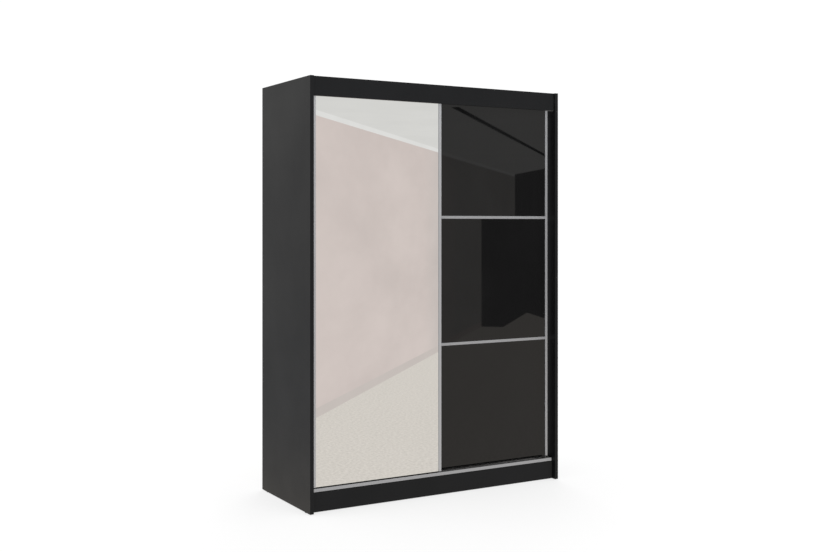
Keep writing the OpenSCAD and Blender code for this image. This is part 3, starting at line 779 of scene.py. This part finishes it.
# boards: finish of the faces, then the sides where the saw cut shows and the sides with an edge band
boardEdge = {"width": 0.0007, "segments": 2}
sideReach = 0.0009  # a face this close to a side of the outer box belongs to that side
boardPieces = {
    "side_panel_left": ("blackBoard", "+y", "-y+z-z"),
    "side_panel_right": ("blackBoard", "+y", "-y+z-z"),
    "top_panel": ("blackBoard", "+y-x+x", "-y"),
    "bottom_panel": ("blackBoard", "+y-x+x", "-y"),
    "centre_partition": ("innerBoard", "+y+z-z", "-y"),
    "top_fascia": ("blackBoard", "-x+x", "+z-z"),
    "front_plinth": ("blackBoard", "-x+x", "+z-z"),
    "rear_plinth": ("blackBoard", "-x+x", "+z-z"),
    "plinth_brace": ("blackBoard", "-y+y", "+z-z"),
    "hat_shelf_left": ("innerBoard", "+y-x+x", "-y"),
    "hat_shelf_right": ("innerBoard", "+y-x+x", "-y"),
    "loose_shelf_1": ("innerBoard", "+y", "-y-x+x"),
    "loose_shelf_2": ("innerBoard", "+y", "-y-x+x"),
    "loose_shelf_3": ("innerBoard", "+y", "-y-x+x"),
    "loose_shelf_4": ("innerBoard", "+y", "-y-x+x"),
    "mirror_door_board": ("innerBoard", "-x+x", "+z-z"),
    "black_door_board": ("innerBoard", "-x+x", "+z-z"),
}


def paintSides(obj, corners, sides, inside):
    # sides: the material slot of each side of the outer box; the rest, such as bores, get the inside slot
    for face in obj.data.polygons:
        axis = max(range(3), key=lambda i: abs(face.normal[i]))
        isHigh = face.normal[axis] > 0
        isOutside = abs(face.center[axis] - corners[isHigh][axis]) < sideReach
        face.material_index = sides.get("-+"[isHigh] + "xyz"[axis], 0) if isOutside else inside


def makeBoard(node, finish, raw, banded):
    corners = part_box(node)
    board = cleanCopy(node, pieceName(node))
    soften(board, boardEdge["width"], boardEdge["segments"], corners)
    for key in (finish, "bandBlack", "chipboard"):
        board.data.materials.append(materials[key])
    sides = {banded[i : i + 2]: 1 for i in range(0, len(banded), 2)}
    sides.update({raw[i : i + 2]: 2 for i in range(0, len(raw), 2)})
    paintSides(board, corners, sides, 2)
    claim(board, node)


for node, spec in boardPieces.items():
    makeBoard(node, *spec)
for name in ("topFascia", "sidePanelRight"):
    bpy.data.objects[name].visible_glossy = False  # the doors show the room right up to their edges
print("boards made:", len(boardPieces))

# panes: the polished arris, the coated front, the painted back
paneEdge = {"width": 0.0006, "segments": 2}
paneFace = 0.99  # a face whose normal lies this close to Y is the front or the back
panePieces = {
    "mirror_pane": ("mirrorGlass", "greenEdge"),
    "black_glass_top": ("blackGlass", "darkEdge"),
    "black_glass_middle": ("blackGlass", "darkEdge"),
    "black_glass_bottom": ("blackGlass", "darkEdge"),
}


def makePane(node, finish, rim):
    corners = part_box(node)
    pane = cleanCopy(node, pieceName(node))
    soften(pane, paneEdge["width"], paneEdge["segments"], corners)
    for key in (rim, finish, "backPaint"):
        pane.data.materials.append(materials[key])
    for face in pane.data.polygons:
        face.material_index = 1 if face.normal.y < -paneFace else 2 if face.normal.y > paneFace else 0
    claim(pane, node)


for node, spec in panePieces.items():
    makePane(node, *spec)
print("panes made:", len(panePieces))

# fittings that keep their frame shape, with softened edges: finish, edge width in metres
trackLip = 0.004  # what lies behind this depth from the track's front gets a darker metal: painted shade inside the track
fittingPieces = {
    # painted shade: the tracks and strips take the darker copy of the anodised metal
    "lower_track": ("anodisedAlongX", 0.00035),
    "upper_track": ("anodisedAlongX", 0.00035),
    "divider_strip_upper": ("anodisedAlongX", 0.0005),
    "divider_strip_lower": ("anodisedAlongX", 0.0005),
    "track_stops": ("blackPlastic", 0.0009),
    "mirror_door_housings": ("blackPlastic", 0.0010),
    "black_door_housings": ("blackPlastic", 0.0010),
    "mirror_door_guides": ("blackPlastic", 0.0010),
    "black_door_guides": ("blackPlastic", 0.0010),
    "mirror_door_axles": ("zincSteel", 0.0004),
    "black_door_axles": ("zincSteel", 0.0004),
    "mirror_door_wheel_left": ("nylon", 0.0003),
    "mirror_door_wheel_right": ("nylon", 0.0003),
    "black_door_wheel_left": ("nylon", 0.0003),
    "black_door_wheel_right": ("nylon", 0.0003),
    "corner_brackets": ("zincSteel", 0.0005),
    "wall_brackets": ("zincSteel", 0.0005),
    "rail_sockets": ("castMetal", 0.0005),
    "shelf_pins": ("nickelPin", 0.0004),
    "cam_locks": ("castMetal", 0.0002),
    "floor_glides": ("blackPlastic", 0.0008),
}


def makeFitting(node, finish, width):
    fitting = cleanCopy(node, pieceName(node))
    soften(fitting, width)
    fitting.data.materials.append(materials[finish])
    if node == "lower_track":
        # painted shade: the faces inside the track take the darker metal
        fitting.data.materials.append(materials["trackInside"])
        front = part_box(node)[0].y + trackLip
        for face in fitting.data.polygons:
            face.material_index = 1 if face.center.y > front else 0
    claim(fitting, node)


for node, spec in fittingPieces.items():
    makeFitting(node, *spec)
print("fittings made:", len(fittingPieces))

# frame nodes whose shape is right as it is
keptFinishes = {
    "back_panel_left": "hardboard",
    "back_panel_right": "hardboard",
    "mirror_door_stile_left": "anodisedAlongZ",
    "mirror_door_stile_right": "anodisedAlongZ",
    "black_door_stile_left": "anodisedAlongZ",
    "black_door_stile_right": "anodisedAlongZ",
    "hanging_rail": "chromeRail",
    "cam_bolts": "zincSteel",
    "dowels": "beech",
    "back_nails": "zincSteel",
}

for node, finish in keptFinishes.items():
    nodes[node].data.materials.clear()
    nodes[node].data.materials.append(materials[finish])
print("kept nodes finished:", len(keptFinishes))


# Geometry Nodes: screws on the places of the frame's screws, bristles along the brush seals


def newTree(name, inputs):
    tree = bpy.data.node_groups.new(name, "GeometryNodeTree")
    tree.interface.new_socket("Geometry", in_out="INPUT", socket_type="NodeSocketGeometry")
    for kind, labels in inputs.items():
        for label in labels:
            tree.interface.new_socket(label, in_out="INPUT", socket_type="NodeSocket" + kind)
    tree.interface.new_socket("Geometry", in_out="OUTPUT", socket_type="NodeSocketGeometry")
    return tree, tree.nodes.new("NodeGroupInput").outputs, tree.nodes.new("NodeGroupOutput").inputs


def treeNode(tree, kind, values=None, **properties):
    node = tree.nodes.new(kind)
    for label, value in properties.items():
        setattr(node, label, value)
    for label, value in (values or {}).items():
        socket = node.inputs[label]
        if isinstance(value, (bool, int, float, tuple, str)):
            socket.default_value = value
        else:
            tree.links.new(value, socket)
    return node.outputs


def shapeNode(tree, kind, values, **properties):
    return treeNode(tree, "GeometryNode" + kind, values, **properties)[0]


def treeMath(tree, operation, a, b=0.0):
    return treeNode(tree, "ShaderNodeMath", {0: a, 1: b}, operation=operation)[0]


def times(tree, a, b):
    return treeMath(tree, "MULTIPLY", a, b)


def vectorNode(tree, x, y, z):
    return treeNode(tree, "ShaderNodeCombineXYZ", {"X": x, "Y": y, "Z": z})[0]


def randomVector(tree, low, high, seed):
    values = {0: low, 1: high, "Seed": seed}
    return treeNode(tree, "FunctionNodeRandomValue", values, data_type="FLOAT_VECTOR")[0]


def raised(tree, geometry, height):
    values = {"Geometry": geometry, "Translation": vectorNode(tree, 0.0, 0.0, height)}
    return shapeNode(tree, "Transform", values)


def joinNode(tree, parts):
    node = tree.nodes.new("GeometryNodeJoinGeometry")
    for part in parts:
        link(tree, part, node.inputs["Geometry"])
    return node.outputs["Geometry"]


def finishTree(tree, instances, given, out):
    solid = shapeNode(tree, "RealizeInstances", {"Geometry": instances})
    values = {"Geometry": solid, "Material": given["Material"]}
    link(tree, shapeNode(tree, "SetMaterial", values), out["Geometry"])


def runTree(obj, tree, values):
    modifier = obj.modifiers.new(tree.name, "NODES")
    modifier.node_group = tree
    sockets = {item.name: item.identifier for item in tree.interface.items_tree if item.in_out == "INPUT"}
    for label, value in values.items():
        modifier[sockets[label]] = value
    obj.update_tag()
    settle(obj)


screwInputs = {
    "Float": ("Head Diameter", "Head Height", "Recess Width", "Shank Diameter", "Shank Length", "Pitch"),
    "Bool": ("Has Shank",),
    "Int": ("Seed",),
    "Material": ("Material",),
}
screwShape = {
    "domeSteps": 6,
    "domePower": 2.6,  # a higher power keeps the head wide for longer
    "domeFall": 0.72,  # the share of the squared width that is gone at the top
    "headSides": 24,
    "slotWidth": 0.28,  # as a share of the slot's length
    "slotDepth": 1.5,  # as a share of the head's height, half of it above the head
    "coreSides": 16,
    "core": 0.78,  # as a share of the shank's radius, as the thread's ridge is
    "ridge": 0.21,
    "turnSteps": 14,
    "bareEnd": 0.0006,  # without a thread at either end of the shank
}


def slottedHead(tree, given, s):
    # a short line whose radius falls off like a dome, swept with a circle
    ends = {"Start": (0.0, 0.0, 0.0), "End": vectorNode(tree, 0.0, 0.0, given["Head Height"])}
    line = shapeNode(tree, "CurvePrimitiveLine", ends)
    line = shapeNode(tree, "ResampleCurve", {"Curve": line, "Count": s["domeSteps"]})
    factor = treeNode(tree, "GeometryNodeSplineParameter")["Factor"]
    fall = times(tree, treeMath(tree, "POWER", factor, s["domePower"]), s["domeFall"])
    dome = treeMath(tree, "SQRT", treeMath(tree, "SUBTRACT", 1.0, fall))
    rim = {"Resolution": s["headSides"], "Radius": times(tree, given["Head Diameter"], 0.5)}
    circle = shapeNode(tree, "CurvePrimitiveCircle", rim)
    sweep = {"Curve": line, "Profile Curve": circle, "Scale": dome, "Fill Caps": True}
    head = shapeNode(tree, "CurveToMesh", sweep)
    # two crossed slots are cut into it
    narrow = times(tree, given["Recess Width"], s["slotWidth"])
    deep = times(tree, given["Head Height"], s["slotDepth"])
    cut = tree.nodes.new("GeometryNodeMeshBoolean")
    cut.operation, cut.solver = "DIFFERENCE", "EXACT"
    link(tree, head, cut.inputs["Mesh 1"])
    for x, y in ((given["Recess Width"], narrow), (narrow, given["Recess Width"])):
        bar = shapeNode(tree, "MeshCube", {"Size": vectorNode(tree, x, y, deep)})
        link(tree, raised(tree, bar, given["Head Height"]), cut.inputs["Mesh 2"])
    return cut.outputs["Mesh"]


def threadedShank(tree, given, s):
    # a core with a helical thread round it
    length = given["Shank Length"]
    radius = times(tree, given["Shank Diameter"], 0.5)
    core = times(tree, radius, s["core"])
    values = {"Vertices": s["coreSides"], "Radius": core, "Depth": length}
    rod = shapeNode(tree, "MeshCylinder", values)
    run = treeMath(tree, "SUBTRACT", length, 2 * s["bareEnd"])
    helix = {"Resolution": s["turnSteps"], "Start Radius": core, "End Radius": core, "Height": run}
    helix["Rotations"] = treeMath(tree, "DIVIDE", run, given["Pitch"])
    spiral = shapeNode(tree, "CurveSpiral", helix)
    ridge = {"Resolution": 3, "Radius": times(tree, radius, s["ridge"])}
    profile = shapeNode(tree, "CurvePrimitiveCircle", ridge)
    sweep = {"Curve": spiral, "Profile Curve": profile, "Fill Caps": True}
    thread = shapeNode(tree, "CurveToMesh", sweep)
    middle = times(tree, length, -0.5)
    tip = treeMath(tree, "ADD", times(tree, length, -1.0), s["bareEnd"])
    return joinNode(tree, (raised(tree, rod, middle), raised(tree, thread, tip)))


def makeScrewTree(s):
    tree, given, out = newTree("panHeadScrews", screwInputs)
    values = {"Switch": given["Has Shank"], "True": threadedShank(tree, given, s)}
    shank = shapeNode(tree, "Switch", values, input_type="GEOMETRY")
    whole = joinNode(tree, (slottedHead(tree, given, s), shank))
    # each screw faces outward and is turned by chance, as drivers leave them
    values, kind = {"Name": "facing"}, "FLOAT_VECTOR"
    facing = treeNode(tree, "GeometryNodeInputNamedAttribute", values, data_type=kind)["Attribute"]
    aligned = treeNode(tree, "FunctionNodeAlignRotationToVector", {"Vector": facing}, axis="Z")[0]
    values = {3: 2 * math.pi, "Seed": given["Seed"]}  # socket 3 is the most that a number may be
    chance = treeNode(tree, "FunctionNodeRandomValue", values, data_type="FLOAT")[1]
    values = {"Axis": (0.0, 0.0, 1.0), "Angle": chance}
    spin = treeNode(tree, "FunctionNodeAxisAngleToRotation", values)[0]
    values = {"Rotation": aligned, "Rotate By": spin}
    turned = treeNode(tree, "FunctionNodeRotateRotation", values, rotation_space="LOCAL")[0]
    values = {"Points": given["Geometry"], "Instance": whole, "Rotation": turned}
    finishTree(tree, shapeNode(tree, "InstanceOnPoints", values), given, out)
    return tree


brushInputs = {
    "Float": ("Width", "Length", "Pile", "Backing", "Bristle", "Lean"),
    "Int": ("Rows", "Tufts", "Seed"),
    "Material": ("Material",),
}
brushShape = {
    "inside": 0.7,  # the bristles stand on this share of the backing's width
    "jitter": (0.0003, 0.0005, 0),  # metres, either way from the grid
    "taper": 0.35,  # the tip's radius as a share of the foot's
    "spin": 6.28,  # radians
}


def makeBrushTree(s):
    # the pile stands on +Z here; the seal is turned and placed by makeBrush
    tree, given, out = newTree("brushPile", brushInputs)
    inner = times(tree, given["Width"], s["inside"])
    values = {"Size X": inner, "Size Y": given["Length"]}
    values.update({"Vertices X": given["Rows"], "Vertices Y": given["Tufts"]})
    grid = shapeNode(tree, "MeshGrid", values)
    jitter = randomVector(tree, tuple(-v for v in s["jitter"]), s["jitter"], given["Seed"])
    spots = shapeNode(tree, "SetPosition", {"Geometry": grid, "Offset": jitter})
    values = {"Vertices": 3, "Radius Bottom": given["Bristle"]}
    values["Radius Top"] = times(tree, given["Bristle"], s["taper"])
    values["Depth"] = treeMath(tree, "SUBTRACT", given["Pile"], given["Backing"])
    bristle = shapeNode(tree, "MeshCone", values)
    lean = given["Lean"]
    back = times(tree, lean, -1.0)
    low, high = vectorNode(tree, back, back, 0.0), vectorNode(tree, lean, lean, s["spin"])
    tilt = randomVector(tree, low, high, treeMath(tree, "ADD", given["Seed"], 1.0))
    values = {"Points": spots, "Instance": bristle, "Rotation": tilt}
    standing = shapeNode(tree, "InstanceOnPoints", values)
    size = vectorNode(tree, given["Width"], given["Length"], given["Backing"])
    strip = shapeNode(tree, "MeshCube", {"Size": size})
    half = times(tree, given["Backing"], 0.5)
    both = joinNode(tree, (raised(tree, standing, given["Backing"]), raised(tree, strip, half)))
    finishTree(tree, both, given, out)
    return tree


def islandBoxes(node):
    # lowest and highest corners of each separate solid of a node
    working = bmesh.new()
    working.from_mesh(nodes[node].data)
    bmesh.ops.remove_doubles(working, verts=working.verts, dist=mergeDistance)
    left = set(working.verts)
    boxes = []
    while left:
        stack = [left.pop()]
        found = list(stack)
        while stack:
            for edge in stack.pop().link_edges:
                for vert in edge.verts:
                    if vert in left:
                        left.remove(vert)
                        stack.append(vert)
                        found.append(vert)
        low = Vector([min(v.co[i] for v in found) for i in range(3)])
        high = Vector([max(v.co[i] for v in found) for i in range(3)])
        boxes.append((low, high))
    working.free()
    return sorted(boxes, key=lambda b: tuple(round(c, 5) for c in b[0]))


# screws: the sizes that their solids don't give, then which way the heads of each node point
screwSettings = {
    "headHeight": 0.0016,
    "recess": 0.5,  # as a share of the head's diameter
    "shank": 0.0030,
    "pitch": 0.0012,
    "seed": 7,
    "midHeight": 1,  # track screws below this height point up, those above it down
    "flat": 0.002,  # a bracket screw flatter than this is one under the top panel
    "midWidth": 0.3,  # the other bracket screws point to +X on the left of this, to -X on the right
}


def trackFacing(low, high, s):
    return Vector((0, 0, 1 if low.z < s["midHeight"] else -1))


def bracketFacing(low, high, s):
    if high.z - low.z < s["flat"]:
        return Vector((0, 0, -1))
    return Vector((1 if low.x < s["midWidth"] else -1, 0, 0))


def doorFacing(low, high, s):
    return Vector((0, 1, 0))


screwPieces = {
    "track_screws": trackFacing,
    "bracket_screws": bracketFacing,
    "mirror_door_screws": doorFacing,
    "black_door_screws": doorFacing,
}


def makeScrews(node, rule, s):
    # screws of one size are one group: head width and shank length, then the seats and facings
    groups = {}
    for low, high in islandBoxes(node):
        facing = rule(low, high, s)
        axis = max(range(3), key=lambda i: abs(facing[i]))
        size = high - low
        seat = (low + high) / 2
        outer = (high if facing[axis] > 0 else low)[axis]
        seat[axis] = outer - facing[axis] * s["headHeight"]
        shank = round(size[axis] - s["headHeight"], 4)
        across = round(max(size[(axis + 1) % 3], size[(axis + 2) % 3]), 4)
        groups.setdefault((across, shank), []).append((seat, facing))
    parts = []
    for (across, shank), places in sorted(groups.items()):
        part = meshObject(pieceName(node), [seat for seat, facing in places], [])
        facings = part.data.attributes.new("facing", "FLOAT_VECTOR", "POINT")
        for value, (seat, facing) in zip(facings.data, places):
            value.vector = facing
        hasShank = shank > s["headHeight"]
        values = {
            "Head Diameter": across,
            "Head Height": s["headHeight"],
            "Has Shank": hasShank,
            "Shank Length": shank if hasShank else 0.01,  # a hidden shank may have any length
            "Shank Diameter": s["shank"],
            "Pitch": s["pitch"],
            "Recess Width": across * s["recess"],
            "Seed": s["seed"],
            "Material": materials["zincSteel"],
        }
        runTree(part, screwTree, values)
        parts.append(part)
    joined = bmesh.new()
    for part in parts:
        joined.from_mesh(part.data)
    screws = parts[0]
    joined.to_mesh(screws.data)
    joined.free()
    for part in parts[1:]:
        bpy.data.objects.remove(part)
    for face in screws.data.polygons:
        face.use_smooth = False
    claim(screws, node)


screwTree = makeScrewTree(screwShape)
for node, rule in screwPieces.items():
    makeScrews(node, rule, screwSettings)
print("screws made:", len(screwPieces))

brushSettings = {
    "backing": 0.0008,
    "rows": 6,
    "pitch": 0.0013,  # from one row of tufts to the next along the seal
    "bristle": 0.00028,
    "lean": 0.12,
    "bareEnds": 0.002,
    "pile": 0.97,  # as a share of the seal's depth
}
brushSeeds = {"mirror_door_brush": 3, "black_door_brush": 11}


def makeBrush(node, seed, s):
    low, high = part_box(node)
    size = high - low
    brush = meshObject(pieceName(node), [(0, 0, 0)], [])
    length = size.z - s["bareEnds"]
    values = {
        "Width": size.x,
        "Length": length,
        "Pile": size.y * s["pile"],
        "Backing": s["backing"],
        "Rows": s["rows"],
        "Tufts": int(length / s["pitch"]),
        "Bristle": s["bristle"],
        "Lean": s["lean"],
        "Seed": seed,
        "Material": materials["pile"],
    }
    runTree(brush, brushTree, values)
    middle = (low + high) / 2
    for vert in brush.data.vertices:
        x, along, out = vert.co
        vert.co = (middle.x - x, low.y + out, middle.z + along)  # +Z turns to +Y and +Y to +Z, unmirrored
    claim(brush, node)


brushTree = makeBrushTree(brushShape)
for node, seed in brushSeeds.items():
    makeBrush(node, seed, brushSettings)
print("brush seals made:", len(brushSeeds))
